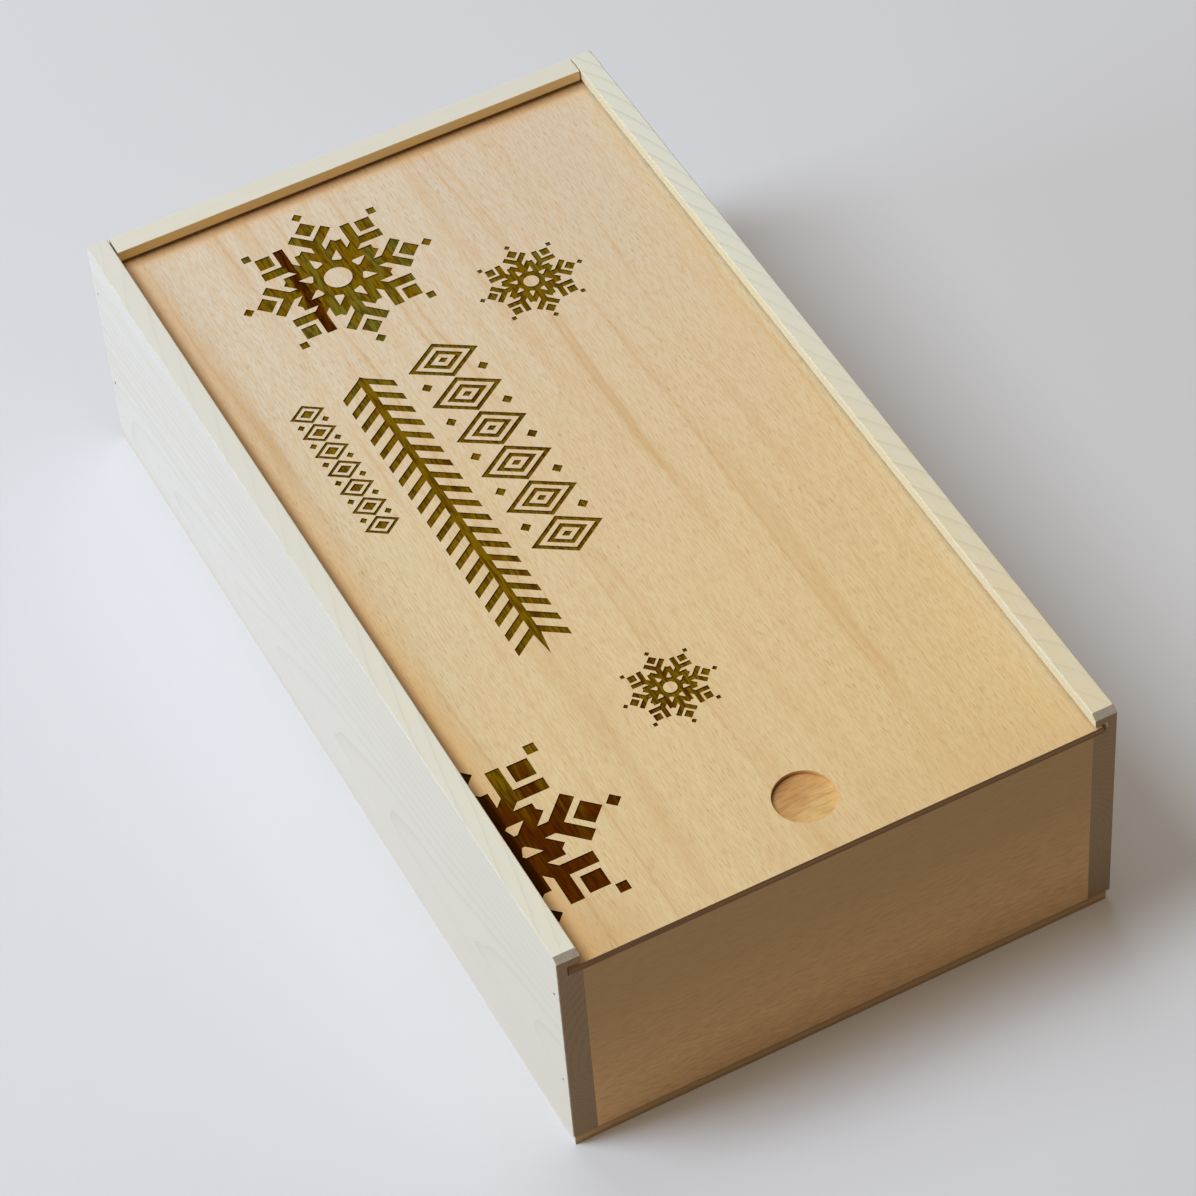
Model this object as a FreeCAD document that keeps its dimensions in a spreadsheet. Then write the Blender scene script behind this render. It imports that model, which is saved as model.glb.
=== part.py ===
import FreeCAD, Part
import os
import Sketcher

# A flat wooden gift box with a sliding plywood lid.
# Frame: +Z up, +X to the right, +Y to the rear; the origin is the middle of the underside.

doc = FreeCAD.newDocument("GiftBox")

# Driving dimensions, in millimetres; names that end in share are plain ratios.
SIZES = [
    ("box_width", 200.0, "over the two side boards"),
    ("box_length", 361.5, "front face to rear face"),
    ("box_height", 97.1, "underside to the top edges"),
    ("side_thickness", 8.6, "side boards"),
    ("end_thickness", 8.6, "front and rear boards"),
    ("lip_height", 4.3, "wood above the lid groove"),
    ("lip_relief", 0.5, "lip's inner face behind the board's inner face"),
    ("groove_wall", 3.6, "wood left outside the lid groove"),
    ("edge_radius", 0.5, "sanded outer edges"),
    ("seam_ease", 0.2, "sanded edges of the front board's face"),
    ("nose_run", 2.6, "sloped front end of the lips, along the box"),
    ("nose_drop", 1.3, "sloped front end of the lips, downwards"),
    ("nose_overrun_share", 0.5, "how far the nose cut runs past the wood"),
    ("base_veneer", 1.4, "outer plies of the bottom panel"),
    ("base_core", 1.8, "middle ply of the bottom panel"),
    ("base_left_inset", 0.5, "bottom panel inside the left face"),
    ("base_right_inset", 1.4, "bottom panel inside the right face"),
    ("base_end_inset", 0.3, "bottom panel inside the front and rear faces"),
    ("lid_veneer", 1.0, "outer plies of the lid"),
    ("lid_core", 1.0, "middle ply of the lid"),
    ("lid_headroom", 1.5, "free height above the lid in its groove"),
    ("lid_left_clearance", 0.4, "lid to the left groove"),
    ("lid_right_clearance", 1.6, "lid to the right groove"),
    ("lid_rear_clearance", 0.3, "lid to the rear groove"),
    ("lid_edge_ease", 0.2, "sanded upper edges of the lid"),
    ("recess_diameter", 21.2, "finger recess"),
    ("recess_setback", 23.0, "finger recess behind the lid's front edge"),
    ("recess_core_share", 0.6, "part of the core's thickness that the recess takes"),
    ("pin_diameter", 1.3, "headless corner pin"),
    ("pin_length", 20.0, "headless corner pin, point included"),
    ("pin_point", 2.0, "length of its point"),
    ("pin_set", 0.3, "pin driven below the surface"),
    ("pin_bottom_distance", 32.0, "lower pin above the underside"),
    ("pin_top_distance", 20.1, "upper pin below the top edge"),
    ("pin_offset_share", 0.42, "pin's place in the end board's thickness"),
    ("brad_diameter", 1.2, "brad under the bottom panel"),
    ("brad_length", 15.0, "brad, head and point included"),
    ("brad_point", 1.8, "length of its point"),
    ("brad_head_diameter", 2.2, "brad head"),
    ("brad_head_height", 0.5, "brad head"),
    ("brad_set", 0.1, "brad head above the underside"),
    ("brad_side_margin", 40.0, "outer brads of a side, from the box's ends"),
    ("brad_end_margin", 50.0, "outer brads of an end, from the box's sides"),
    ("nail_clearance", 0.05, "pins and brads to their holes, each side"),
]

sheet = doc.addObject("Spreadsheet::Sheet", "Sizes")
for row, (alias, size, note) in enumerate(SIZES, start=1):
    sheet.set(f"A{row}", alias)
    sheet.set(f"B{row}", str(size))
    sheet.set(f"C{row}", note)
    sheet.setAlias(f"B{row}", alias)
doc.recompute()

# Thicknesses, heights and widths that follow from the driving dimensions.
BASE = "(2 * Sizes.base_veneer + Sizes.base_core)"
LID = "(2 * Sizes.lid_veneer + Sizes.lid_core)"
LIP_BOTTOM = "(Sizes.box_height - Sizes.lip_height)"
SEAT = f"({LIP_BOTTOM} - Sizes.lid_headroom - {LID})"
BOARD_HEIGHT = f"(Sizes.box_height - {BASE})"
GROOVE_FLOOR = f"({SEAT} - {BASE})"
GROOVE_CEILING = f"({LIP_BOTTOM} - {BASE})"
INNER_WIDTH = "(Sizes.box_width - 2 * Sizes.side_thickness)"
BOX_LEFT = "(-Sizes.box_width / 2)"
BOX_FRONT = "(-Sizes.box_length / 2)"
LID_LEFT = f"({BOX_LEFT} + Sizes.groove_wall + Sizes.lid_left_clearance)"
LID_RIGHT = f"(-{BOX_LEFT} - Sizes.groove_wall - Sizes.lid_right_clearance)"
LID_WIDTH = f"({LID_RIGHT} - {LID_LEFT})"
LID_LENGTH = "(Sizes.box_length - Sizes.groove_wall - Sizes.lid_rear_clearance)"
BASE_WIDTH = "(Sizes.box_width - Sizes.base_left_inset - Sizes.base_right_inset)"
BASE_LENGTH = "(Sizes.box_length - 2 * Sizes.base_end_inset)"
PIN_OFFSET = "(Sizes.end_thickness * Sizes.pin_offset_share)"
PIN_HEIGHTS = ["Sizes.pin_bottom_distance", "(Sizes.box_height - Sizes.pin_top_distance)"]
PIN_HOLE = "(Sizes.pin_diameter + 2 * Sizes.nail_clearance)"
PIN_BITE = "(Sizes.pin_set + Sizes.pin_length - Sizes.side_thickness + Sizes.nail_clearance)"
BRAD_HOLE = "(Sizes.brad_diameter + 2 * Sizes.nail_clearance)"
BRAD_HEAD_HOLE = "(Sizes.brad_head_diameter + 2 * Sizes.nail_clearance)"
BRAD_HEAD_DEPTH = "(Sizes.brad_set + Sizes.brad_head_height + Sizes.nail_clearance)"
BRAD_BITE = f"(Sizes.brad_set + Sizes.brad_length - {BASE} + Sizes.nail_clearance)"

# Brads along each side board and along each end board, spread evenly between the margins.
BRADS_PER_SIDE = 4
BRADS_PER_END = 2


def value(expression):
    """The number that an expression of the sheet gives."""
    return float(sheet.evalExpression(expression))


def new_body(name, x, y, z):
    """An empty body whose corner is placed by three expressions."""
    body = doc.addObject("PartDesign::Body", name)
    body.Label = name
    for axis, expression in zip("xyz", (x, y, z)):
        body.setExpression(f"Placement.Base.{axis}", expression)
    return body


def new_sketch(body, name, role, offset="0"):
    """A sketch on one of the body's origin planes, moved along the plane's normal."""
    plane = next(part for part in body.Origin.OriginFeatures if part.Role == role)
    sketch = body.newObject("Sketcher::SketchObject", name)
    sketch.AttachmentSupport = [(plane, "")]
    sketch.MapMode = "FlatFace"
    if offset != "0":
        sketch.setExpression("AttachmentOffset.Base.z", offset)
    return sketch


def fix_point(sketch, geometry, position, x, y):
    """Ties one point of a sketch to two expressions, or to an axis where one is zero."""
    for kind, axis, expression in (("DistanceX", -2, x), ("DistanceY", -1, y)):
        if expression == "0":
            sketch.addConstraint(Sketcher.Constraint("PointOnObject", geometry, position, axis))
            continue
        place = Sketcher.Constraint(kind, -1, 1, geometry, position, value(expression))
        index = sketch.addConstraint(place)
        sketch.setExpression(f"Constraints[{index}]", expression)


def add_outline(sketch, corners):
    """A closed run of straight lines through corners given as pairs of expressions."""
    points = [FreeCAD.Vector(value(x), value(y), 0) for x, y in corners]
    lines = []
    for start, end in zip(points, points[1:] + points[:1]):
        lines.append(sketch.addGeometry(Part.LineSegment(start, end)))
    for line, follower in zip(lines, lines[1:] + lines[:1]):
        sketch.addConstraint(Sketcher.Constraint("Coincident", line, 2, follower, 1))
    for line, (x, y) in zip(lines, corners):
        fix_point(sketch, line, 1, x, y)


def add_circle(sketch, x, y, diameter):
    """A circle whose centre and diameter are expressions."""
    centre = FreeCAD.Vector(value(x), value(y), 0)
    up = FreeCAD.Vector(0, 0, 1)
    circle = sketch.addGeometry(Part.Circle(centre, up, value(diameter) / 2))
    index = sketch.addConstraint(Sketcher.Constraint("Diameter", circle, value(diameter)))
    sketch.setExpression(f"Constraints[{index}]", diameter)
    fix_point(sketch, circle, 3, x, y)


def pad(body, name, sketch, length, backwards=False):
    """Wood added from a sketch along its normal, or against it."""
    feature = body.newObject("PartDesign::Pad", name)
    feature.Profile = sketch
    feature.Reversed = backwards
    feature.setExpression("Length", length)
    doc.recompute()


def pocket(body, name, sketch, depth, along_normal=False):
    """Wood cut away from a sketch against its normal, or along it; it has to cut something."""
    before = body.Shape.Volume
    feature = body.newObject("PartDesign::Pocket", name)
    feature.Profile = sketch
    feature.Reversed = along_normal
    feature.setExpression("Length", depth)
    doc.recompute()
    if not body.Shape.Volume < before:
        raise RuntimeError(f"{name} cuts nothing")


def edges_in(body, *planes):
    """Names of a body's edges that lie in all the given planes, each an axis number and a place on it."""
    near = Part.Precision.confusion()
    names = []
    for number, edge in enumerate(body.Tip.Shape.Edges, start=1):
        ends = [vertex.Point for vertex in edge.Vertexes]
        if all(abs(point[axis] - place) < near for axis, place in planes for point in ends):
            names.append(f"Edge{number}")
    return names


def sand(body, name, edges, radius):
    """Edges rounded over by sanding."""
    base = body.Tip
    feature = body.newObject("PartDesign::Fillet", name)
    feature.Base = (base, edges)
    feature.setExpression("Radius", radius)
    doc.recompute()


def spread(length, margin, count):
    """Even places along a length between two margins, as expressions from its start."""
    return [f"({margin} + {step} * ({length} - 2 * {margin}) / {count - 1})" for step in range(count)]


SIDE_BRADS = spread("Sizes.box_length", "Sizes.brad_side_margin", BRADS_PER_SIDE)
END_BRADS = spread("Sizes.box_width", "Sizes.brad_end_margin", BRADS_PER_END)


def side_board(name, hand):
    """A grooved side board; hand is 1 where the wood lies to the right of the outer face, else -1."""
    inner = f"({hand} * Sizes.side_thickness)"
    wall = f"({hand} * Sizes.groove_wall)"
    lip = f"({hand} * (Sizes.side_thickness - Sizes.lip_relief))"
    body = new_body(name, f"{hand} * {BOX_LEFT}", BOX_FRONT, BASE)
    section = new_sketch(body, f"{name}_section", "XZ_Plane")
    add_outline(section, [
        ("0", "0"), (inner, "0"), (inner, GROOVE_FLOOR), (wall, GROOVE_FLOOR),
        (wall, GROOVE_CEILING), (lip, GROOVE_CEILING), (lip, BOARD_HEIGHT), ("0", BOARD_HEIGHT),
    ])
    pad(body, f"{name}_board", section, "Sizes.box_length", backwards=True)

    past = "Sizes.nose_overrun_share"
    before_front = f"(-{past} * Sizes.nose_run)"
    above_top = f"({BOARD_HEIGHT} + {past} * Sizes.nose_drop)"
    nose = new_sketch(body, f"{name}_nose_outline", "YZ_Plane")
    add_outline(nose, [
        (before_front, f"({BOARD_HEIGHT} - (1 + {past}) * Sizes.nose_drop)"),
        (f"((1 + {past}) * Sizes.nose_run)", above_top),
        (before_front, above_top),
    ])
    pocket(body, f"{name}_nose", nose, "Sizes.side_thickness", along_normal=hand > 0)

    outer_face = edges_in(body, (0, 0))
    lip_edge = edges_in(body, (0, value(lip)), (2, value(BOARD_HEIGHT)))
    sand(body, f"{name}_sanding", outer_face + lip_edge, "Sizes.edge_radius")

    pins = new_sketch(body, f"{name}_pin_places", "YZ_Plane")
    for height in PIN_HEIGHTS:
        add_circle(pins, PIN_OFFSET, f"({height} - {BASE})", PIN_HOLE)
        add_circle(pins, f"(Sizes.box_length - {PIN_OFFSET})", f"({height} - {BASE})", PIN_HOLE)
    pocket(body, f"{name}_pin_holes", pins, "Sizes.side_thickness", along_normal=hand > 0)

    brads = new_sketch(body, f"{name}_brad_places", "XY_Plane")
    for y in SIDE_BRADS:
        add_circle(brads, f"({inner} / 2)", y, BRAD_HOLE)
    pocket(body, f"{name}_brad_holes", brads, BRAD_BITE, along_normal=True)
    return body


def end_board(name, front, corners):
    """A board between the sides: a section across its thickness, run from side to side."""
    body = new_body(name, f"(-{INNER_WIDTH} / 2)", front, BASE)
    section = new_sketch(body, f"{name}_section", "YZ_Plane")
    add_outline(section, corners)
    pad(body, f"{name}_board", section, INNER_WIDTH)
    return body


def nail_holes(body, name, pin_place):
    """Blind holes for the pins in both ends of an end board, and for the brads in its lower edge."""
    for side, offset in (("left", "0"), ("right", INNER_WIDTH)):
        pins = new_sketch(body, f"{name}_{side}_pin_places", "YZ_Plane", offset)
        for height in PIN_HEIGHTS:
            add_circle(pins, pin_place, f"({height} - {BASE})", PIN_HOLE)
        pocket(body, f"{name}_{side}_pin_holes", pins, PIN_BITE, along_normal=side == "left")
    brads = new_sketch(body, f"{name}_brad_places", "XY_Plane")
    for x in END_BRADS:
        add_circle(brads, f"({x} - Sizes.side_thickness)", "(Sizes.end_thickness / 2)", BRAD_HOLE)
    pocket(body, f"{name}_brad_holes", brads, BRAD_BITE, along_normal=True)


def ply(name, corner, width, length, thickness):
    """One rectangular veneer, lying flat with its left front corner at a place."""
    body = new_body(name, *corner)
    outline = new_sketch(body, f"{name}_outline", "XY_Plane")
    add_outline(outline, [("0", "0"), (width, "0"), (width, length), ("0", length)])
    pad(body, f"{name}_sheet", outline, thickness)
    return body


def brad_places():
    """Places of all the brads, as expressions from the left face and the front face of the box."""
    half_side = "(Sizes.side_thickness / 2)"
    half_end = "(Sizes.end_thickness / 2)"
    sides = [(x, y) for x in (half_side, f"(Sizes.box_width - {half_side})") for y in SIDE_BRADS]
    ends = [(x, y) for y in (half_end, f"(Sizes.box_length - {half_end})") for x in END_BRADS]
    return sides + ends


def base_ply(name, height, thickness):
    """One ply of the bottom panel, with a hole for every brad."""
    left = f"({BOX_LEFT} + Sizes.base_left_inset)"
    front = f"({BOX_FRONT} + Sizes.base_end_inset)"
    body = ply(name, (left, front, height), BASE_WIDTH, BASE_LENGTH, thickness)
    brad_cuts(body, f"{name}_brad", BRAD_HOLE, thickness)
    return body


def brad_cuts(body, name, diameter, depth):
    """Round cuts up from the underside of a base ply, one for each brad."""
    cuts = new_sketch(body, f"{name}_places", "XY_Plane")
    for x, y in brad_places():
        add_circle(cuts, f"({x} - Sizes.base_left_inset)", f"({y} - Sizes.base_end_inset)", diameter)
    pocket(body, f"{name}_cuts", cuts, depth, along_normal=True)


def lid_ply(name, height, thickness):
    """One ply of the lid, which lies on the groove floors with its front edge flush with the box."""
    return ply(name, (LID_LEFT, BOX_FRONT, height), LID_WIDTH, LID_LENGTH, thickness)


def recess_cut(body, name, top, depth):
    """The round finger recess, cut down from the top of a lid ply."""
    outline = new_sketch(body, f"{name}_outline", "XY_Plane", top)
    add_circle(outline, f"({LID_WIDTH} / 2)", "Sizes.recess_setback", "Sizes.recess_diameter")
    pocket(body, name, outline, depth)


def nail(name, place, turn, diameter, length, point, head=None):
    """A round nail whose blunt end is at a place and whose point looks along +Z before the turn."""
    shank = doc.addObject("Part::Cylinder", f"{name}_shank")
    shank.setExpression("Radius", f"{diameter} / 2")
    shank.setExpression("Height", f"{length} - {point}")
    tip = doc.addObject("Part::Cone", f"{name}_tip")
    tip.setExpression("Radius1", f"{diameter} / 2")
    tip.Radius2 = 0
    tip.setExpression("Height", point)
    tip.setExpression("Placement.Base.z", f"{length} - {point}")
    pieces = [shank, tip]
    if head:
        disc = doc.addObject("Part::Cylinder", f"{name}_head")
        disc.setExpression("Radius", f"{head[0]} / 2")
        disc.setExpression("Height", head[1])
        pieces.append(disc)
    whole = doc.addObject("Part::MultiFuse", name)
    whole.Shapes = pieces
    whole.Placement = FreeCAD.Placement(FreeCAD.Vector(), turn)
    for axis, expression in zip("xyz", place):
        whole.setExpression(f"Placement.Base.{axis}", expression)
    return whole


def group(name, members):
    """Like nails kept together, each still a solid of its own."""
    compound = doc.addObject("Part::Compound", name)
    compound.Label = name
    compound.Links = members
    return compound


# Side boards: one moulded section and its mirror image, with the groove open at both ends.
left_side = side_board("left_side", 1)
right_side = side_board("right_side", -1)

# Front board: plain, its top edge level with the groove floors so that the lid passes over it.
front_board = end_board("front_board", BOX_FRONT, [
    ("0", "0"), ("Sizes.end_thickness", "0"),
    ("Sizes.end_thickness", GROOVE_FLOOR), ("0", GROOVE_FLOOR),
])
sand(front_board, "front_board_sanding", edges_in(front_board, (1, 0)), "Sizes.seam_ease")
nail_holes(front_board, "front_board", PIN_OFFSET)

# Rear board: full height, its groove facing forwards to take the lid's rear edge.
groove_back = "(Sizes.end_thickness - Sizes.groove_wall)"
rear_board = end_board("rear_board", f"(-{BOX_FRONT} - Sizes.end_thickness)", [
    ("0", "0"), ("Sizes.end_thickness", "0"),
    ("Sizes.end_thickness", BOARD_HEIGHT), ("Sizes.lip_relief", BOARD_HEIGHT),
    ("Sizes.lip_relief", GROOVE_CEILING), (groove_back, GROOVE_CEILING),
    (groove_back, GROOVE_FLOOR), ("0", GROOVE_FLOOR),
])
rear_face = edges_in(rear_board, (1, value("Sizes.end_thickness")))
rear_lip = edges_in(rear_board, (1, value("Sizes.lip_relief")), (2, value(BOARD_HEIGHT)))
sand(rear_board, "rear_board_sanding", rear_face + rear_lip, "Sizes.seam_ease")
nail_holes(rear_board, "rear_board", f"(Sizes.end_thickness - {PIN_OFFSET})")

# Bottom panel: three plies nailed on from below, the lowest sunk for the brad heads.
base_under_ply = base_ply("base_under_ply", "0", "Sizes.base_veneer")
brad_cuts(base_under_ply, "base_under_ply_head", BRAD_HEAD_HOLE, BRAD_HEAD_DEPTH)
base_core_ply = base_ply("base_core_ply", "Sizes.base_veneer", "Sizes.base_core")
base_top_ply = base_ply("base_top_ply", f"({BASE} - Sizes.base_veneer)", "Sizes.base_veneer")

# Lid: three plies, the finger recess cut through the face and into the core.
lid_back_ply = lid_ply("lid_back_ply", SEAT, "Sizes.lid_veneer")
lid_core_ply = lid_ply("lid_core_ply", f"({SEAT} + Sizes.lid_veneer)", "Sizes.lid_core")
core_cut = "(Sizes.lid_core * Sizes.recess_core_share)"
recess_cut(lid_core_ply, "lid_core_ply_recess", "Sizes.lid_core", core_cut)
lid_face_ply = lid_ply("lid_face_ply", f"({SEAT} + {LID} - Sizes.lid_veneer)", "Sizes.lid_veneer")
face_top = edges_in(lid_face_ply, (2, value("Sizes.lid_veneer")))
sand(lid_face_ply, "lid_face_ply_sanding", face_top, "Sizes.lid_edge_ease")
recess_cut(lid_face_ply, "lid_face_ply_recess", "Sizes.lid_veneer", "Sizes.lid_veneer")

# Corner pins: driven through the sides into the ends of the front and rear boards.
pins = []
pin_rows = (("front", f"({BOX_FRONT} + {PIN_OFFSET})"), ("rear", f"(-{BOX_FRONT} - {PIN_OFFSET})"))
pin_sides = (("left", f"({BOX_LEFT} + Sizes.pin_set)", 90),
             ("right", f"(-{BOX_LEFT} - Sizes.pin_set)", -90))
for end, pin_y in pin_rows:
    for side, pin_x, angle in pin_sides:
        for level, height in zip(("low", "high"), PIN_HEIGHTS):
            turn = FreeCAD.Rotation(FreeCAD.Vector(0, 1, 0), angle)
            pins.append(nail(f"pin_{end}_{side}_{level}", (pin_x, pin_y, height), turn,
                             "Sizes.pin_diameter", "Sizes.pin_length", "Sizes.pin_point"))
corner_pins = group("corner_pins", pins)

# Brads: driven up through the bottom panel into the lower edges of the four boards.
brads = []
brad_head = ("Sizes.brad_head_diameter", "Sizes.brad_head_height")
for number, (x, y) in enumerate(brad_places(), start=1):
    place = (f"({x} + {BOX_LEFT})", f"({y} + {BOX_FRONT})", "Sizes.brad_set")
    brads.append(nail(f"brad_{number}", place, FreeCAD.Rotation(),
                      "Sizes.brad_diameter", "Sizes.brad_length", "Sizes.brad_point", brad_head))
base_brads = group("base_brads", brads)

doc.recompute()

parts = [
    left_side, right_side, front_board, rear_board,
    base_under_ply, base_core_ply, base_top_ply,
    lid_back_ply, lid_core_ply, lid_face_ply,
    corner_pins, base_brads,
]
failed = [item.Name for item in doc.Objects if "Invalid" in item.State or "Error" in item.State]
if failed:
    raise RuntimeError(f"not built: {failed}")
for part in parts:
    if part.Shape.isNull() or not part.Shape.isValid():
        raise RuntimeError(f"{part.Label} has no sound shape")

os.makedirs("parts", exist_ok=True)
for part in parts:
    part.Shape.exportStep(f"parts/{part.Label}.step")
    print(part.Label, len(part.Shape.Solids), round(part.Shape.Volume, 1))
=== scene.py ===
import math

import bpy
from mathutils import Matrix, Vector


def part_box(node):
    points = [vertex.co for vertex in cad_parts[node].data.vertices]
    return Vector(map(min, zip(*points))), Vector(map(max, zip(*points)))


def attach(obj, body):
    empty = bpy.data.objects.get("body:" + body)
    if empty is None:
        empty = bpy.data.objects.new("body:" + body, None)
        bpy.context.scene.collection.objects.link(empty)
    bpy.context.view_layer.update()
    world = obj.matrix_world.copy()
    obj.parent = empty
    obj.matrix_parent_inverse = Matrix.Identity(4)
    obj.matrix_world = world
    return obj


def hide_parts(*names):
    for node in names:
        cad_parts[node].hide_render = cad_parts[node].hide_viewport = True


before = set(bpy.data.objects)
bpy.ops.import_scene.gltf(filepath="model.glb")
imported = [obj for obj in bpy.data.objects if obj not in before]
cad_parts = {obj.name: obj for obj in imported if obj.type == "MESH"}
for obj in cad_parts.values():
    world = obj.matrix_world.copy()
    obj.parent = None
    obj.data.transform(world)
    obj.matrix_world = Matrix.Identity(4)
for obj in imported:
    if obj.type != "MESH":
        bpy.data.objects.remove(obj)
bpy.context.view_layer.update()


# The bottom panel: a sheet of thin plywood under the four boards, its two outer plies running
# along the box and its core across it. It is sawn to size, left raw and nailed on from below.

X, Y, Z = range(3)
mm_per_metre = 1000.0


class Tone:
    """One output of a material's nodes, on which sums are written as Python sums."""

    def __init__(self, socket):
        self.socket = socket

    def node(self, kind, settings, inputs, output=0):
        """Any node beside this one: its settings first, then the values or links of its sockets."""
        tree = self.socket.id_data
        node = tree.nodes.new(kind)
        for name, setting in settings.items():
            setattr(node, name, setting)
        for name, value in inputs.items():
            if isinstance(value, Tone):
                tree.links.new(value.socket, node.inputs[name])
            else:
                node.inputs[name].default_value = value
        return Tone(node.outputs[output])

    def maths(self, operation, first, second):
        return self.node("ShaderNodeMath", {"operation": operation}, {0: first, 1: second})

    def __add__(self, other):
        return self.maths("ADD", self, other)

    __radd__ = __add__

    def __sub__(self, other):
        return self.maths("SUBTRACT", self, other)

    def __rsub__(self, other):
        return self.maths("SUBTRACT", other, self)

    def __mul__(self, other):
        return self.maths("MULTIPLY", self, other)

    __rmul__ = __mul__

    def __pow__(self, other):
        return self.maths("POWER", self, other)

    def __mod__(self, other):
        return self.maths("FLOORED_MODULO", self, other)

    def __abs__(self):
        return self.maths("ABSOLUTE", self, 0.0)


def new_finish(name):
    """A fresh material, its shader, and the place on the piece in millimetres."""
    material = bpy.data.materials.new(name)
    material.use_nodes = True
    tree = material.node_tree
    metres = Tone(tree.nodes.new("ShaderNodeTexCoord").outputs["Object"])
    inputs = {"Vector": metres, "Scale": mm_per_metre}
    place = metres.node("ShaderNodeVectorMath", {"operation": "SCALE"}, inputs)
    return material, tree.nodes["Principled BSDF"], place


def part_of(place, axis):
    """How far along X, Y or Z a place lies."""
    return place.node("ShaderNodeSeparateXYZ", {}, {"Vector": place}, axis)


def in_steps(place, size, seed):
    """A place counted in steps of a size along X, Y and Z, in millimetres, and moved by a seed."""
    scale = [1 / length for length in size]
    inputs = {"Vector": place, "Location": (seed, seed, seed), "Scale": scale}
    return place.node("ShaderNodeMapping", {}, inputs)


def cloud(place, size, seed=0.0, detail=2.0):
    """Soft noise about 0.5 whose blobs have a size along X, Y and Z, in millimetres."""
    inputs = {"Vector": in_steps(place, size, seed), "Scale": 1.0, "Detail": detail}
    return place.node("ShaderNodeTexNoise", {}, inputs)


def rise(value, low, high):
    """0 below low, 1 above high and a smooth rise between them."""
    limits = {"Value": value, "From Min": low, "From Max": high}
    return value.node("ShaderNodeMapRange", {"interpolation_type": "SMOOTHSTEP"}, limits)


def stain(colour, amount, other):
    """A colour turned by an amount towards another."""
    factor, first, second, result = 0, 6, 7, 2
    inputs = {factor: amount, first: colour, second: other}
    return amount.node("ShaderNodeMix", {"data_type": "RGBA"}, inputs, result)


def facing(place):
    """The way the surface faces, in the piece's own axes."""
    return Tone(place.socket.id_data.nodes.new("ShaderNodeTexCoord").outputs["Normal"])


def end_grain(place, run):
    """1 where the surface is sawn across the grain, which runs along X, Y or Z."""
    slant_to_grain = (0.3, 0.42)
    return rise(abs(part_of(facing(place), run)), *slant_to_grain)


def along(run, length, width):
    """A size in X, Y and Z that is long on the axis the grain runs along."""
    return [length if axis == run else width for axis in (X, Y, Z)]


def coat(shader, colour, relief, relief_height, roughness):
    """Colour, sheen and the fine relief of raw wood, its height in metres."""
    relief_strength = 0.6
    roughness_spread = 0.15
    raw_sheen = 0.2

    tree = shader.id_data
    tree.links.new(colour.socket, shader.inputs["Base Color"])
    inputs = {"Height": relief, "Distance": relief_height, "Strength": relief_strength}
    bump = relief.node("ShaderNodeBump", {}, inputs)
    tree.links.new(bump.socket, shader.inputs["Normal"])
    tree.links.new((roughness + relief * roughness_spread).socket, shader.inputs["Roughness"])
    shader.inputs["Specular IOR Level"].default_value = raw_sheen


def raw_wood(name, run, ground, dark, end,
             rings=None, ring_share=0.0, band_share=0.3, fibre_size=(9, 0.4)):
    """Sanded wood: a ground tone that may drift over the piece, soft bands and fine fibres along
    the grain, ring lines, and darker end grain."""
    band_size, band_limits = (240, 8), (0.35, 0.7)
    fibre_limits, fibre_share = (0.4, 0.75), 0.55
    pore_size, pore_limits = (0.6, 0.6, 0.6), (0.2, 0.6)
    pore_share, end_share = 0.25, 0.75
    ring_tone_share, ring_end_share = 0.55, 0.4
    fibre_relief, raw_roughness = 0.00006, 0.6

    material, shader, place = new_finish(name)
    bands = rise(cloud(place, along(run, *band_size), seed=4.1), *band_limits)
    fibres = cloud(place, along(run, *fibre_size), detail=4.0)
    colour = ground(place) if callable(ground) else ground
    colour = stain(colour, bands * band_share + rise(fibres, *fibre_limits) * fibre_share, dark)
    sawn = end_grain(place, run)
    pores = rise(cloud(place, pore_size, seed=9.3, detail=3.0), *pore_limits)
    colour = stain(colour, sawn * (pores * pore_share + end_share), end)
    if rings:
        ring_dark = [ring_tone_share * part for part in end[:3]] + [1]
        colour = stain(colour, rings(place) * (sawn * ring_end_share + ring_share), ring_dark)
    coat(shader, colour, fibres, fibre_relief, raw_roughness)
    return material


def dress(material, *nodes):
    """Gives CAD nodes their finish."""
    for node in nodes:
        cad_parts[node].material_slots[0].material = material


base_pale = (0.76, 0.745, 0.70, 1)
base_dark = (0.72, 0.69, 0.62, 1)
base_end = (0.49, 0.36, 0.205, 1)
core_long = (0.67, 0.51, 0.31, 1)
core_end = (0.74, 0.72, 0.67, 1)
long_ply = raw_wood("base_long_ply", Y, base_pale, base_dark, base_end)
dress(long_ply, "base_under_ply", "base_top_ply")
cross_ply = raw_wood("base_cross_ply", X, core_long, base_end, core_end)
dress(cross_ply, "base_core_ply")


# The brads: small flat-headed nails of bright drawn wire. They are driven up through the bottom
# panel into the boards, four along each side and two along each end, heads just below the wood.

wire_bright = (0.56, 0.55, 0.53, 1)
wire_dull = (0.33, 0.31, 0.28, 1)


def drawn_wire(name):
    """Bright steel wire, dulled in patches by handling."""
    patch_size, dull_limits = (1.2, 1.2, 1.2), (0.45, 0.7)
    smooth_roughness, dull_roughness = 0.25, 0.3

    material, shader, place = new_finish(name)
    patches = cloud(place, patch_size, detail=4.0)
    colour = stain(wire_bright, rise(patches, *dull_limits), wire_dull)
    tree = material.node_tree
    tree.links.new(colour.socket, shader.inputs["Base Color"])
    roughness = patches * dull_roughness + smooth_roughness
    tree.links.new(roughness.socket, shader.inputs["Roughness"])
    shader.inputs["Metallic"].default_value = 1.0
    return material


steel = drawn_wire("nail_wire")
dress(steel, "base_brads")


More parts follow.
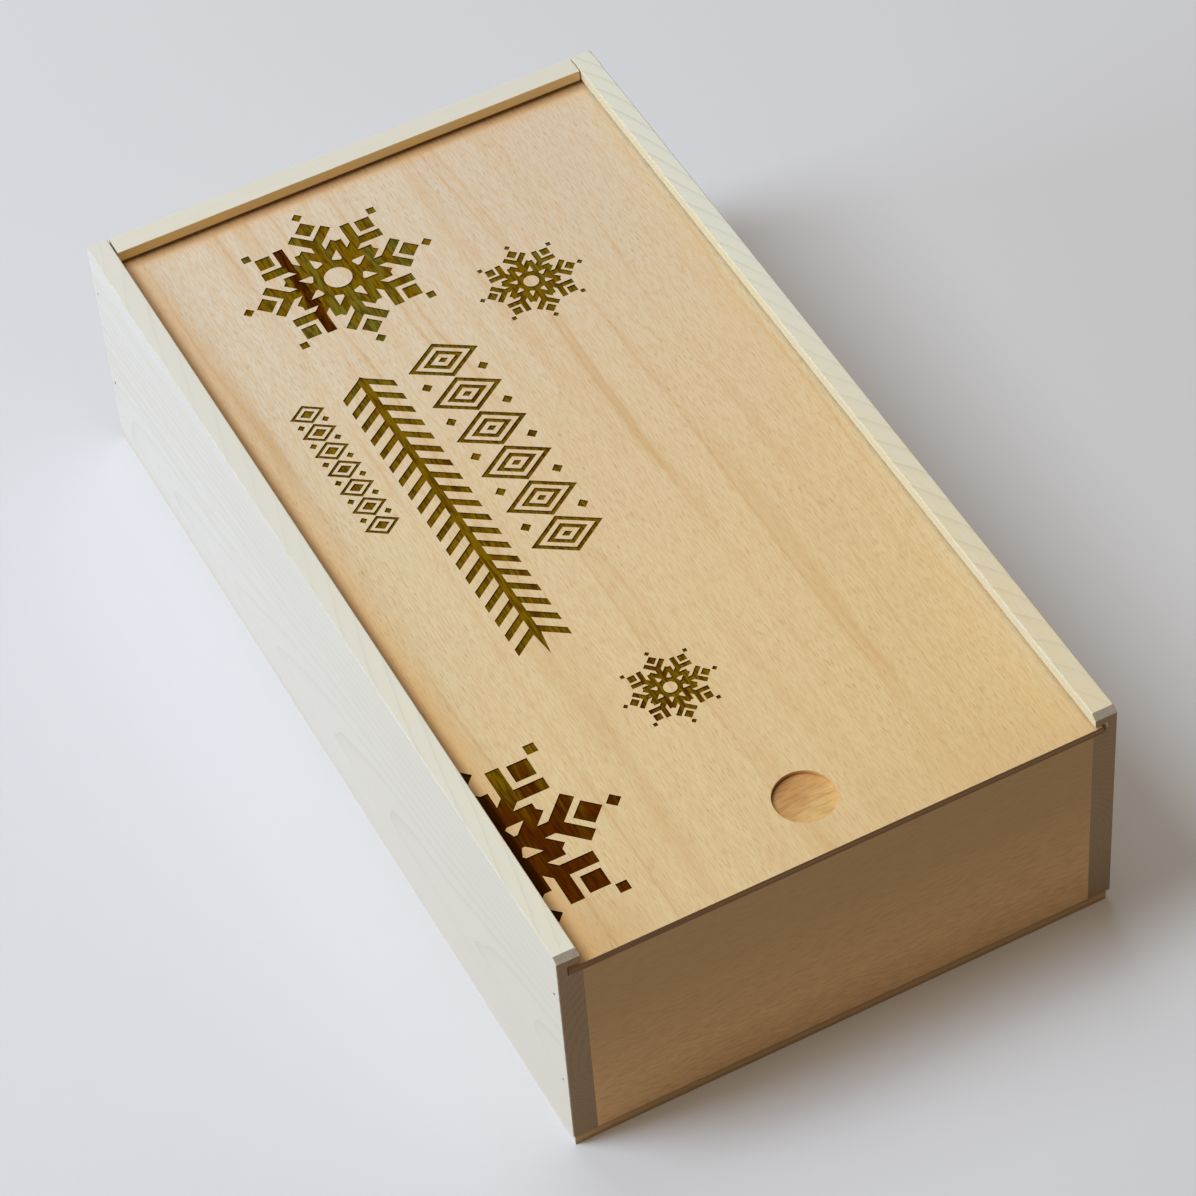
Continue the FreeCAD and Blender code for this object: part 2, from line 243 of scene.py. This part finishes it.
# The front board: a plain planed board between the sides, its grain running across the box.
# It is glued and pinned at its ends, and its top edge is level with the lid's grooves.

# Painted light: the front board is paler at the bottom, as if lit by the floor, and darker at the top.
front_lit_low = (0.86, 0.64, 0.385, 1)
front_shaded_high = (0.56, 0.445, 0.27, 1)
front_dark = (0.50, 0.35, 0.185, 1)
front_end = (0.40, 0.31, 0.21, 1)
floor_light_heights = (5, 75)


def front_ground(place):
    """Painted light: paler along the bottom of the board, as if lit by the floor, and painted shade
    towards the top.
    """
    return stain(front_lit_low, rise(part_of(place, Z), *floor_light_heights), front_shaded_high)


front_wood = raw_wood("front_board_wood", X, front_ground, front_dark, front_end,
                      band_share=0.1, fibre_size=(4, 0.45))
dress(front_wood, "front_board")


# The rear board: the same section as the sides, grooved for the lid's rear edge, with the grain
# across the box. Its outer face is pale limewood as on the sides, its inner face is warmer, and
# the lip over the groove carries painted warm light, as thrown up from the lid.

lime_pale = (0.785, 0.795, 0.785, 1)
lime_cream = (0.735, 0.72, 0.645, 1)
lime_dark = (0.73, 0.70, 0.615, 1)
lime_end = (0.35, 0.29, 0.215, 1)
rear_edge = (0.72, 0.65, 0.505, 1)
rear_inner = (0.75, 0.64, 0.47, 1)
# Painted warm light on the lip over the groove, as thrown up from the lid.
rear_lip_warm_light = (0.98, 0.67, 0.215, 1)
lip_light_heights = (90, 92)
faces_along = (0.4, 0.8)
faces_against = (-0.8, -0.4)


def rear_ground(place):
    """Pale outside, creamier on the top edge, warm inside, and warmest on the lip over the groove,
    where the warmth is painted light thrown up from the lid.
    """
    normal = facing(place)
    colour = stain(lime_pale, rise(part_of(normal, Z), *faces_along), rear_edge)
    inner = stain(rear_inner, rise(part_of(place, Z), *lip_light_heights), rear_lip_warm_light)
    return stain(inner, rise(part_of(normal, Y), *faces_against), colour)


rear_wood = raw_wood("rear_board_wood", X, rear_ground, lime_dark, lime_end)
dress(rear_wood, "rear_board")


# The two side boards: pale limewood, grooved near the top for the lid and planed flat-sawn, so that
# faint growth rings show as long nested loops on the faces and as slanting lines on the ends.


def ring_lines(pith_x, pith_z, drift, taper, spacing, below):
    """A finish's ring lines: cones about a pith that runs along the box and drifts off its height.
    Below the pith the rings are squeezed together, which flattens the lower side of the loops."""
    waver_size, waver_reach = (40, 130, 40), 6.0
    patch_size, patch_limits = (30, 160, 30), (0.3, 0.7)
    patch_share, line_share = 0.6, 0.4
    line_sharpness = 7.0

    def lines(place):
        sideways = part_of(place, X) - pith_x
        length = part_of(place, Y)
        height = part_of(place, Z) - pith_z + length * drift
        height = height.maths("MAXIMUM", height, height * -below)
        radius = (sideways * sideways + height * height) ** 0.5 + length * taper
        waver = cloud(place, waver_size, seed=2.6)
        phase = ((radius + waver * waver_reach) * (1 / spacing)) % 1.0
        patches = rise(cloud(place, patch_size, seed=7.7), *patch_limits)
        return phase ** line_sharpness * (patches * patch_share + line_share)

    return lines


left_rings = ring_lines(pith_x=-45, pith_z=24, drift=0.07, taper=0.065, spacing=3.0, below=3.0)
right_rings = ring_lines(pith_x=80, pith_z=45, drift=-0.04, taper=0.2, spacing=2.0, below=1.2)
left_near, left_far = (0.77, 0.69, 0.51, 1), (0.72, 0.66, 0.55, 1)
right_near, right_far = (0.77, 0.61, 0.35, 1), (0.74, 0.70, 0.56, 1)
side_inner = (0.79, 0.69, 0.44, 1)
# Painted shade for the eased edges, which would otherwise catch the light.
eased_edge_shade = (0.50, 0.45, 0.36, 1)


def side_ground(outward, near, far):
    """A side's ground tone: the outer face is palest and creamier towards the front, the top edge has
    a near and a far tone, the eased edges carry painted shade that keeps them from catching the light,
    and the inner face is cream. Outward is -1 on the left, 1 on the right."""
    front_to_back = (-160, 110)
    eased_shade_limits, eased_shade_share = (0.2, 0.4), 0.7

    def ground(place):
        back = rise(part_of(place, Y), *front_to_back)
        across = part_of(facing(place), X) * outward
        outer = stain(lime_cream, back, lime_pale)
        colour = stain(stain(near, back, far), rise(across, *faces_along), outer)
        # Painted shade on the eased edges.
        eased_shade = rise(abs(across) * abs(part_of(facing(place), Z)), *eased_shade_limits)
        colour = stain(colour, eased_shade * eased_shade_share, eased_edge_shade)
        return stain(side_inner, rise(across, *faces_against), colour)

    return ground


left_wood = raw_wood("left_side_wood", Y, side_ground(-1, left_near, left_far), lime_dark, lime_end,
                     left_rings, ring_share=0.14)
right_wood = raw_wood("right_side_wood", Y, side_ground(1, right_near, right_far), lime_dark, lime_end,
                      right_rings, ring_share=0.25)
dress(left_wood, "left_side")
dress(right_wood, "right_side")


# The corner pins: headless wire pins through the sides into the ends of the front and rear boards,
# two at each corner, punched a little below the surface.

dress(steel, "corner_pins")


# The lid's back and core plies: rotary-cut beech, the core laid across and the back along the lid.
# The finger recess is bored into the core, whose cross grain and flecks make its floor, with
# painted light and shade on it.

beech_rear_left, beech_rear_right = (0.715, 0.60, 0.455, 1), (0.70, 0.56, 0.405, 1)
beech_front_left, beech_front_right = (0.75, 0.57, 0.305, 1), (0.78, 0.55, 0.268, 1)
beech_corners = (beech_rear_left, beech_rear_right, beech_front_left, beech_front_right)
beech_streak = (0.64, 0.385, 0.16, 1)
beech_growth = (0.58, 0.30, 0.09, 1)
# Painted warm shade along the lid's left and rear margins, under the lips.
beech_warm_shade = (0.73, 0.39, 0.125, 1)
# Painted shade along the lid's right margin, beside the right lip.
beech_right_shade = (0.60, 0.52, 0.34, 1)
# Painted shadow of the left and rear lips on the lid.
beech_lip_shadow = (0.20, 0.085, 0.03, 1)
beech_fleck = (0.34, 0.15, 0.04, 1)
beech_end = (0.24, 0.15, 0.085, 1)
core_pale = (0.67, 0.38, 0.125, 1)
# Painted light and shade on the recess floor: a lit tone, the figure with its shade, and the wall's
# shadow.
core_painted_light = (0.74, 0.485, 0.182, 1)
core_figure_and_shade = (0.46, 0.20, 0.055, 1)
core_wall_shadow = (0.20, 0.085, 0.028, 1)
recess_radius = 0.0106
recess_setback = 0.023
lid_low, lid_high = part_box("lid_face_ply")
lid_middle = (lid_low + lid_high) / 2
recess_place = Vector((lid_middle.x, lid_low.y + recess_setback, lid_middle.z))


def lid_ground(place, corners):
    """A veneer's ground tone: it drifts between the lid's corners, carries painted warm shade and a
    painted lip shadow along the left and rear margins, painted shade along the right one, and is
    browner where the front is handled."""
    left_to_right, far_power = (-75, 85), 1.5
    warm_shade_left, warm_shade_left_share, warm_shade_far_share = (-91, -79), 0.75, 0.2
    warm_shade_rear, warm_shade_rear_share = (164, 173), 0.8
    right_shade_span, right_shade_share = (82, 92), 0.5
    lip_shadow_left, lip_shadow_left_share = (-91.5, -87), 0.65
    lip_shadow_rear, lip_shadow_rear_share = (167.5, 172), 0.55
    handled_front, handled_right_share = (-178, -145), 0.25
    handled_corner, handled_corner_share = (-72, -56), 0.5

    sideways, length = part_of(place, X), part_of(place, Y)
    right = rise(sideways, *left_to_right)
    far = rise(length, lid_low.y * mm_per_metre, lid_high.y * mm_per_metre) ** far_power
    rear_left, rear_right, front_left, front_right = corners
    rear, front = stain(rear_left, right, rear_right), stain(front_left, right, front_right)
    colour = stain(front, far, rear)
    # Painted warm shade beside the left and rear lips.
    warm_shade = (1 - rise(sideways, *warm_shade_left)) * (warm_shade_left_share - far * warm_shade_far_share)
    warm_shade = warm_shade.maths("MAXIMUM", warm_shade, rise(length, *warm_shade_rear) * warm_shade_rear_share)
    colour = stain(colour, warm_shade, beech_warm_shade)
    # Painted shade along the right margin.
    colour = stain(colour, rise(sideways, *right_shade_span) * right_shade_share, beech_right_shade)
    # Painted shadow of the left and rear lips along the margins.
    lip_shadow = (1 - rise(sideways, *lip_shadow_left)) * lip_shadow_left_share
    lip_shadow = lip_shadow.maths("MAXIMUM", lip_shadow, rise(length, *lip_shadow_rear) * lip_shadow_rear_share)
    colour = stain(colour, lip_shadow, beech_lip_shadow)
    corner = (1 - rise(sideways, *handled_corner)) * handled_corner_share
    handled = (1 - rise(length, *handled_front)) * (corner + right * handled_right_share)
    return stain(colour, handled, beech_streak)


def growth(colour, place, swayed, run):
    """Soft streaks along the grain, and growth lines that are stronger in patches."""
    streak_size, streak_limits, streak_share = (140, 6), (0.46, 0.74), 0.2
    patch_size, patch_limits = (90, 30), (0.35, 0.65)
    line_size, line_count = (1500, 16), 3.0
    sharp_power, sharp_patch_share, sharp_share = 14.0, 0.3, 0.1
    soft_power, soft_share = 4.0, 0.12

    streaks = rise(cloud(swayed, along(run, *streak_size), seed=6.4, detail=3.0), *streak_limits)
    patches = rise(cloud(place, along(run, *patch_size), seed=3.7), *patch_limits)
    turns = cloud(swayed, along(run, *line_size), seed=5.9, detail=1.0) * line_count
    lines = 1 - abs(turns % 1.0 * 2.0 - 1)
    sharp = lines ** sharp_power * (patches * sharp_patch_share + sharp_share)
    soft = lines ** soft_power * patches * soft_share
    colour = stain(colour, streaks * streak_share, beech_streak)
    return stain(colour, sharp + soft, beech_growth)


def recess_figure_and_shade(colour, swayed, run, across, ahead):
    """The recess's floor: boldly figured and marked in the middle by the bit, with painted light on
    its open side and painted shade deepening to a painted shadow where the wall stands over it."""
    rearwards, leftwards = 0.85, 0.5
    painted_light_limits, painted_light_share = (-0.5, 0.05), 0.75
    mark_across, mark_ahead = -0.12, 0.08
    mark_limits, mark_share = (0.0, 0.14), 0.375
    bold_size, bold_limits = (7, 1.3), (0.36, 0.68)
    bold_wall_shade_share, bold_share = 0.375, 0.525
    wall_shade_limits, wall_shade_share = (-0.4, 1.1), 0.75
    wall_shadow_limits, wall_shadow_share = (0.55, 1.0), 0.75

    shaded = ahead * rearwards - across * leftwards
    wall_shade = rise(shaded, *wall_shade_limits)
    mark_x, mark_y = across - mark_across, ahead - mark_ahead
    mark = 1 - rise(mark_x * mark_x + mark_y * mark_y, *mark_limits)
    bold = rise(cloud(swayed, along(run, *bold_size), seed=4.8, detail=3.0), *bold_limits)
    # Painted light on the recess floor's open side.
    colour = stain(colour, (1 - rise(shaded, *painted_light_limits)) * painted_light_share, core_painted_light)
    colour = stain(colour, mark * mark_share, core_figure_and_shade)
    colour = stain(colour, bold * (wall_shade * bold_wall_shade_share + bold_share), core_figure_and_shade)
    # Painted shade under the wall, then the wall's painted shadow.
    colour = stain(colour, wall_shade * wall_shade_share, core_figure_and_shade)
    return stain(colour, rise(shaded, *wall_shadow_limits) * wall_shadow_share, core_wall_shadow)


def flecks(place, run, width, length, seed):
    """Beech's short dark dashes, each a stretched dot of its own strength."""
    dot_limits, strength_limits = (0.12, 0.36), (0.3, 0.8)
    inputs = {"Vector": in_steps(place, along(run, length, width), seed), "Scale": 1.0}
    distance = place.node("ShaderNodeTexVoronoi", {}, inputs, "Distance")
    strength = place.node("ShaderNodeTexVoronoi", {}, inputs, "Color")
    return (1 - rise(distance, *dot_limits)) * rise(strength, *strength_limits)


def beech(name, run, corners, figure=None):
    """Beech veneer: wavy growth, fine fibres and flecks on its ground tone, a figure of its own with
    painted light and shade where the recess shows it, and dark sawn edges everywhere but on the
    recess's wall."""
    waver_size, waver_reach = (120, 25), 14.0
    fibre_size, fibre_limits, fibre_share = (5.5, 0.38), (0.44, 0.6), 0.4
    crowd_size, crowd_limits = (60, 18), (0.3, 0.7)
    crowd_share, fleck_share = 0.2, 0.22
    wall_limits, sawn_share = (1.1, 1.3), 0.75
    veneer_relief, veneer_roughness = 0.00006, 0.5

    material, shader, place = new_finish(name)
    waver = cloud(place, along(run, *waver_size), seed=1.9) * waver_reach
    sway = place.node("ShaderNodeCombineXYZ", {}, {X if run == Y else Y: waver})
    swayed = place.node("ShaderNodeVectorMath", {}, {0: place, 1: sway})
    colour = growth(lid_ground(place, corners), place, swayed, run)
    per_radius = 1 / (recess_radius * mm_per_metre)
    across = (part_of(place, X) - recess_place.x * mm_per_metre) * per_radius
    ahead = (part_of(place, Y) - recess_place.y * mm_per_metre) * per_radius
    if figure:
        colour = figure(colour, swayed, run, across, ahead)
    fibres = cloud(place, along(run, *fibre_size), detail=3.0)
    colour = stain(colour, rise(fibres, *fibre_limits) * fibre_share, beech_streak)
    long_dashes = flecks(place, run, width=0.52, length=5.6, seed=11.2)
    short_dashes = flecks(place, run, width=0.45, length=4.4, seed=3.3)
    crowd = rise(cloud(place, along(run, *crowd_size), seed=8.8), *crowd_limits)
    dashes = (long_dashes + short_dashes) * (crowd * crowd_share + fleck_share)
    colour = stain(colour, dashes, beech_fleck)
    outer = rise(across * across + ahead * ahead, *wall_limits)
    sawn = 1 - rise(abs(part_of(facing(place), Z)), *faces_along)
    colour = stain(colour, outer * (sawn * sawn_share), beech_end)
    colour = stain(colour, outer * end_grain(place, run), beech_end)
    coat(shader, colour, fibres, veneer_relief, veneer_roughness)
    return material


dress(beech("lid_back_veneer", Y, beech_corners), "lid_back_ply")
dress(beech("lid_core_veneer", X, [core_pale] * 4, recess_figure_and_shade), "lid_core_ply")


# The lid's face ply: a sanded beech veneer with an ornament burnt half a millimetre into it.
# Four snowflakes and three bands are cut out of one sheet, and the burn leaves brown floors.

burn_depth = 0.0005
cut_clearance = 0.0005
edge_ease = 0.0002
edge_ease_steps = 3
least_upward = 0.5
recess_corners = 96

char_olive = (0.208, 0.110, 0.002, 1)
char_green = (0.175, 0.145, 0.014, 1)
char_red = (0.095, 0.0205, 0.0005, 1)
# Black of the char's streaks, also used for the painted shadow of the left lip.
char_black_and_shadow = (0.030, 0.008, 0.0005, 1)


def burnt(name):
    """Charred veneer: dark streaks along the grain, greener at the back, redder at the front and in
    the heart streak, and a painted black shadow beside the left lip."""
    fibre_size, fibre_limits = (0.75, 7, 0.75), (0.42, 0.62)
    fibre_heart_share, fibre_share = 0.35, 0.6
    heart_x, heart_limits, heart_lengths = -37.5, (1.2, 3.2), (85, 100)
    wander_size, wander_reach = (1.0, 5, 1.0), 6.0
    front_lengths, front_share = (-150, -75), 0.86
    back_lengths = (40, 110)
    patch_size, patch_limits = (3, 25, 3), (0.42, 0.68)
    patch_share, patch_back_share = 0.6, 0.45
    green_size, green_limits = (6, 40, 6), (0.42, 0.65)
    red_limits = (0.1, 1.0)
    char_lip_shadow_strip, char_lip_shadow_share = (-87.8, -86.6), 0.9
    char_relief, char_roughness = 0.0001, 0.8

    material, shader, place = new_finish(name)
    sideways, length = part_of(place, X), part_of(place, Y)
    fibres = cloud(place, fibre_size, seed=2.2, detail=4.0)
    wander = cloud(place, wander_size, seed=7.7, detail=3.0) * wander_reach
    heart = 1 - rise(abs(sideways - heart_x + wander), *heart_limits)
    heart = heart * rise(length, *heart_lengths)
    front = 1 - rise(length, *front_lengths)
    back = rise(length, *back_lengths)
    patches = rise(cloud(place, patch_size, seed=5.2), *patch_limits)
    patches = patches * (patch_share - back * patch_back_share)
    green = rise(cloud(place, green_size, seed=8.1), *green_limits) * back
    colour = stain(char_olive, green, char_green)
    colour = stain(colour, rise(front * front_share + heart + patches, *red_limits), char_red)
    black = rise(fibres, *fibre_limits) * (heart * fibre_heart_share + fibre_share)
    colour = stain(colour, black, char_black_and_shadow)
    # Painted black shadow of the left lip on the burnt floors.
    colour = stain(colour, (1 - rise(sideways, *char_lip_shadow_strip)) * char_lip_shadow_share, char_black_and_shadow)
    coat(shader, colour, fibres, char_relief, char_roughness)
    shader.inputs["Specular IOR Level"].default_value = 0.0
    return material


def select_only(piece):
    """Everything else is deselected, and the piece becomes the active one."""
    bpy.ops.object.select_all(action="DESELECT")
    piece.select_set(True)
    bpy.context.view_layer.objects.active = piece


def closed_line(points):
    """A ring of edges through points on the lid's top: a circle whose corners are moved onto them."""
    bpy.ops.object.select_all(action="DESELECT")
    bpy.ops.mesh.primitive_circle_add(vertices=len(points), fill_type="NOTHING")
    line = bpy.context.object
    for corner, (x, y) in zip(line.data.vertices, points):
        corner.co = (x, y, lid_high.z + cut_clearance)
    return line


def cutter(name, outlines, material):
    """A punch for the burn: closed lines, one inside another where it has holes, filled and
    thickened."""
    lines = [closed_line(points) for points in outlines]
    select_only(lines[0])
    for line in lines:
        line.select_set(True)
    bpy.ops.object.join()
    punch = bpy.context.object
    punch.name = name
    bpy.ops.object.mode_set(mode="EDIT")
    bpy.ops.mesh.select_all(action="SELECT")
    bpy.ops.mesh.fill(use_beauty=True)
    bpy.ops.mesh.normals_make_consistent(inside=False)
    bpy.ops.object.mode_set(mode="OBJECT")
    thick = punch.modifiers.new("thickness", "SOLIDIFY")
    thick.thickness = burn_depth + cut_clearance
    thick.offset = -1.0 if punch.data.polygons[0].normal.z > 0 else 1.0
    bpy.ops.object.modifier_apply(modifier=thick.name)
    bpy.ops.object.mode_set(mode="EDIT")
    bpy.ops.mesh.select_all(action="SELECT")
    bpy.ops.mesh.normals_make_consistent(inside=False)
    bpy.ops.object.mode_set(mode="OBJECT")
    punch.data.materials.append(material)
    return punch


def placed(points, centre, size, turn=0.0):
    """An outline of unit size, turned, scaled and moved to its place on the lid, in metres."""
    cos, sin = math.cos(turn) * size, math.sin(turn) * size
    return [(centre[0] + x * cos - y * sin, centre[1] + x * sin + y * cos) for x, y in points]


def mirrored(points):
    """The same outline on the other side of the Y axis, run the other way."""
    return [(-x, y) for x, y in reversed(points)]


def lozenge(half_width, half_length, x=0.0, y=0.0):
    """Four corners about a place."""
    return [(x, y - half_length), (x + half_width, y), (x, y + half_length), (x - half_width, y)]


def snowflake():
    """A snowflake of eight like arms as outlines of unit radius: the star, its kites and hub, and
    loose diamonds."""
    arms = 8
    half_stem_share = 0.056
    bar_share = 0.103
    outer_notch_share = 0.576
    outer_reach_share = 0.156
    inner_top_share = 0.350
    inner_foot_share = 0.205
    inner_reach_share = 0.154
    collar_share = 0.243
    hub_share = 0.137
    diamond_share, diamond_place_share = 0.109, 0.751
    dot_share, dot_place_share = 0.058, 0.942
    hub_corners = 40

    half_turn = math.pi / arms
    slant = bar_share / math.sqrt(2)
    outer_foot = outer_notch_share - 2 * slant
    notch_x = (2 * inner_reach_share + inner_top_share) / (1 + 1 / math.tan(half_turn))
    side = [
        (outer_reach_share, outer_notch_share + outer_reach_share),
        (outer_reach_share + slant, outer_notch_share + outer_reach_share - slant),
        (half_stem_share, outer_foot + half_stem_share),
        (half_stem_share, inner_top_share + half_stem_share),
        (inner_reach_share, inner_top_share + inner_reach_share),
    ]
    notch = (notch_x, notch_x / math.tan(half_turn))
    arm = mirrored(side) + [(0, outer_notch_share)] + side + [notch]

    kite_x = inner_foot_share / (1 / math.tan(half_turn) - 1)
    collar_y = math.sqrt(collar_share ** 2 - half_stem_share ** 2)
    kite_side = [(half_stem_share, collar_y), (half_stem_share, inner_foot_share + half_stem_share)]
    far_side = placed(mirrored(kite_side), (0, 0), 1, -2 * half_turn)
    kite = kite_side + [(kite_x, kite_x / math.tan(half_turn))] + far_side

    diamond = lozenge(diamond_share, diamond_share, 0, diamond_place_share)
    dot = lozenge(dot_share, dot_share, 0, dot_place_share)
    star, kites, diamonds = [], [], []
    for number in range(arms):
        turn = -2 * half_turn * number
        star += placed(arm, (0, 0), 1, turn)
        kites.append(placed(kite, (0, 0), 1, turn))
        diamonds.append(placed(diamond, (0, 0), 1, turn))
        diamonds.append(placed(dot, (0, 0), 1, turn))
    angles = [2 * math.pi * step / hub_corners for step in range(hub_corners)]
    hub = [(hub_share * math.cos(angle), hub_share * math.sin(angle)) for angle in angles]
    return [star, hub] + kites + diamonds


def lozenge_band(low, high, count, stroke, rings):
    """A chain of lozenges, each of nested lines about a small diamond, with diamonds in the notches
    between."""
    outer_share = 0.97
    dot_strokes = 1.3
    dot_inset_share = 1.5

    middle = (low[0] + high[0]) / 2
    half_width = (high[0] - low[0]) / 2
    half_length = (high[1] - low[1]) / count / 2
    step = stroke * math.hypot(half_width, half_length) / (half_width * half_length)
    dot = dot_strokes * stroke
    dot_reach = half_width - dot_inset_share * dot
    outlines = []
    for number in range(count):
        y = low[1] + (2 * number + 1) * half_length
        for line in range(2 * rings + 1):
            share = outer_share - line * step
            outlines.append(lozenge(half_width * share, half_length * share, middle, y))
        for side in (-1, 1) if number else ():
            outlines.append(lozenge(dot, dot, middle + side * dot_reach, y - half_length))
    return outlines


def twig(low, high, leaves, half_stem, leaf_share):
    """A straight twig with paired slanting leaves, all one outline."""
    lift_share = 0.75

    middle = (low[0] + high[0]) / 2
    reach = (high[0] - low[0]) / 2
    lift = reach * lift_share
    pitch = (high[1] - low[1] - lift) / leaves
    leaf = pitch * leaf_share
    side = []
    for number in range(leaves):
        foot = high[1] - number * pitch
        side += [(half_stem, foot - half_stem), (reach, foot - lift), (reach, foot - lift - leaf)]
        side += [(half_stem, foot - half_stem - leaf)]
    right = [(middle + x, y) for x, y in side]
    left = [(middle - x, y) for x, y in reversed(side)]
    return [right + [(middle, low[1])] + left + [(middle, high[1])]]


flake_sizes = [
    ((-0.0276, 0.1274), 0.0366),
    ((0.0298, 0.0910), 0.0201),
    ((-0.0158, -0.0968), 0.0172),
    ((-0.0983, -0.1288), 0.0479),
]
char = burnt("burnt_veneer")
punches = []
for number, (centre, radius) in enumerate(flake_sizes, start=1):
    outlines = [placed(points, centre, radius) for points in snowflake()]
    punches.append(cutter(f"snowflake_{number}", outlines, char))
wide_band = lozenge_band((-0.0276, -0.0300), (0.0, 0.0816), count=6, stroke=0.0016, rings=2)
punches.append(cutter("wide_band", wide_band, char))
twig_band = twig((-0.0520, -0.0646), (-0.0326, 0.0796), leaves=19, half_stem=0.0014, leaf_share=0.45)
punches.append(cutter("twig_band", twig_band, char))
narrow_band = lozenge_band((-0.0720, 0.0090), (-0.0586, 0.0776), count=7, stroke=0.0011, rings=1)
punches.append(cutter("narrow_band", narrow_band, char))

bpy.ops.object.select_all(action="DESELECT")
bpy.ops.mesh.primitive_cube_add(size=1, location=lid_middle, scale=lid_high - lid_low)
lid_face = bpy.context.object
lid_face.name = "lid_face"
bpy.ops.object.transform_apply(location=True, rotation=True, scale=True)
bpy.ops.object.mode_set(mode="EDIT")
bpy.ops.mesh.select_all(action="DESELECT")
bpy.ops.object.mode_set(mode="OBJECT")
for face in lid_face.data.polygons:
    face.select = face.normal.z > least_upward
bpy.ops.object.mode_set(mode="EDIT")
bpy.ops.mesh.bevel(offset=edge_ease, segments=edge_ease_steps, affect="EDGES")
bpy.ops.object.mode_set(mode="OBJECT")
lid_face.data.materials.append(beech("lid_face_veneer", Y, beech_corners))

bpy.ops.object.select_all(action="DESELECT")
bpy.ops.mesh.primitive_cylinder_add(
    vertices=recess_corners, radius=recess_radius, depth=2 * (lid_high.z - lid_low.z),
    location=recess_place)
bore = bpy.context.object
bpy.ops.object.transform_apply(location=True, rotation=True, scale=True)
bore.data.materials.append(lid_face.data.materials[0])
select_only(bore)
for punch in punches:
    punch.select_set(True)
bpy.ops.object.join()
select_only(lid_face)
cut = lid_face.modifiers.new("cut", "BOOLEAN")
cut.operation = "DIFFERENCE"
cut.solver = "EXACT"
cut.material_mode = "TRANSFER"
cut.object = bore
bpy.ops.object.modifier_apply(modifier=cut.name)
bpy.data.objects.remove(bore)
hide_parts("lid_face_ply")
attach(lid_face, "lid")


# The stage: a plain pale floor under a pale sky. To the camera both are near white; the light that
# the floor throws back is a soft warm glow.

floor_seen = (0.615, 0.61, 0.63, 1)
floor_lift = (0.072, 0.062, 0.046, 1)
floor_glow = (0.56, 0.41, 0.285, 1)
no_light = (0, 0, 0, 1)
sky_seen = (0.80, 0.81, 0.83, 1)
sky_glow = (0.195, 0.147, 0.102, 1)
floor_width = 8.0


def seen_directly(tree):
    """1 for what the camera sees, also by way of a mirror or glass."""
    paths = tree.nodes.new("ShaderNodeLightPath").outputs
    seen = Tone(paths["Is Camera Ray"])
    seen = seen.maths("MAXIMUM", seen, Tone(paths["Is Glossy Ray"]))
    return seen.maths("MAXIMUM", seen, Tone(paths["Is Transmission Ray"]))


bpy.ops.object.select_all(action="DESELECT")
bpy.ops.mesh.primitive_plane_add(size=floor_width)
floor = bpy.context.object
floor.name = "floor"
floor_paint, floor_shader = new_finish("floor_paint")[:2]
seen = seen_directly(floor_paint.node_tree)
tint = stain(floor_glow, seen, floor_seen)
lift = stain(no_light, seen, floor_lift)
floor_paint.node_tree.links.new(tint.socket, floor_shader.inputs["Base Color"])
floor_paint.node_tree.links.new(lift.socket, floor_shader.inputs["Emission Color"])
floor_shader.inputs["Emission Strength"].default_value = 1.0
floor_shader.inputs["Roughness"].default_value = 0.9
floor_shader.inputs["Specular IOR Level"].default_value = 0.0
floor.data.materials.append(floor_paint)

sky = bpy.data.worlds.new("sky")
sky.use_nodes = True
bpy.context.scene.world = sky
glow = stain(sky_glow, seen_directly(sky.node_tree), sky_seen)
sky.node_tree.links.new(glow.socket, sky.node_tree.nodes["Background"].inputs["Color"])


# The lamps: a large soft one high on the left and a little behind the box, as from a window, a
# weaker one high behind it, and a weak cool one low on the left that opens up the side.

lamp_distance = 3.0
day_tint = (0.83, 0.92, 1.0)
cool_tint = (0.62, 0.79, 1.0)


def soft_lamp(name, side, height, width, drop, power, tint):
    """A lamp that faces the box, set by its angle behind the left and its height, in degrees."""
    light = bpy.data.lights.new(name, "AREA")
    light.shape = "RECTANGLE"
    light.size = width
    light.size_y = drop
    light.energy = power
    light.color = tint
    lamp = bpy.data.objects.new(name, light)
    bpy.context.scene.collection.objects.link(lamp)
    side, height = math.radians(side), math.radians(height)
    level = math.cos(height)
    towards = Vector((-math.cos(side) * level, math.sin(side) * level, math.sin(height)))
    lamp.location = towards * lamp_distance
    lamp.rotation_euler = towards.to_track_quat("Z", "Y").to_euler()


soft_lamp("window_lamp", side=16, height=58, width=1.0, drop=1.6, power=70.0, tint=day_tint)
soft_lamp("rear_lamp", side=94, height=66, width=1.4, drop=1.4, power=16.0, tint=day_tint)
soft_lamp("side_lamp", side=12, height=17, width=1.0, drop=1.0, power=34.0, tint=cool_tint)


# The camera: the photograph's place and view. They were found from the box's own edges, which are
# square to each other, and its small roll is the photograph's own.

camera_place = (-0.4223, -0.9631, 1.2194)
camera_azimuth = math.radians(23.90)
camera_elevation = math.radians(48.52)
camera_roll = math.radians(4.888)
camera_lens = 138.69
camera_sensor = 36.0

camera_data = bpy.data.cameras.new("camera")
camera_data.sensor_width = camera_sensor
camera_data.lens = camera_lens
camera = bpy.data.objects.new("camera", camera_data)
bpy.context.scene.collection.objects.link(camera)
tilt = Matrix.Rotation(math.pi / 2 - camera_elevation, 4, "X")
aim = Matrix.Rotation(-camera_azimuth, 4, "Z") @ tilt @ Matrix.Rotation(-camera_roll, 4, "Z")
camera.matrix_world = Matrix.Translation(camera_place) @ aim
bpy.context.scene.camera = camera
bpy.context.scene.view_settings.view_transform = "Standard"
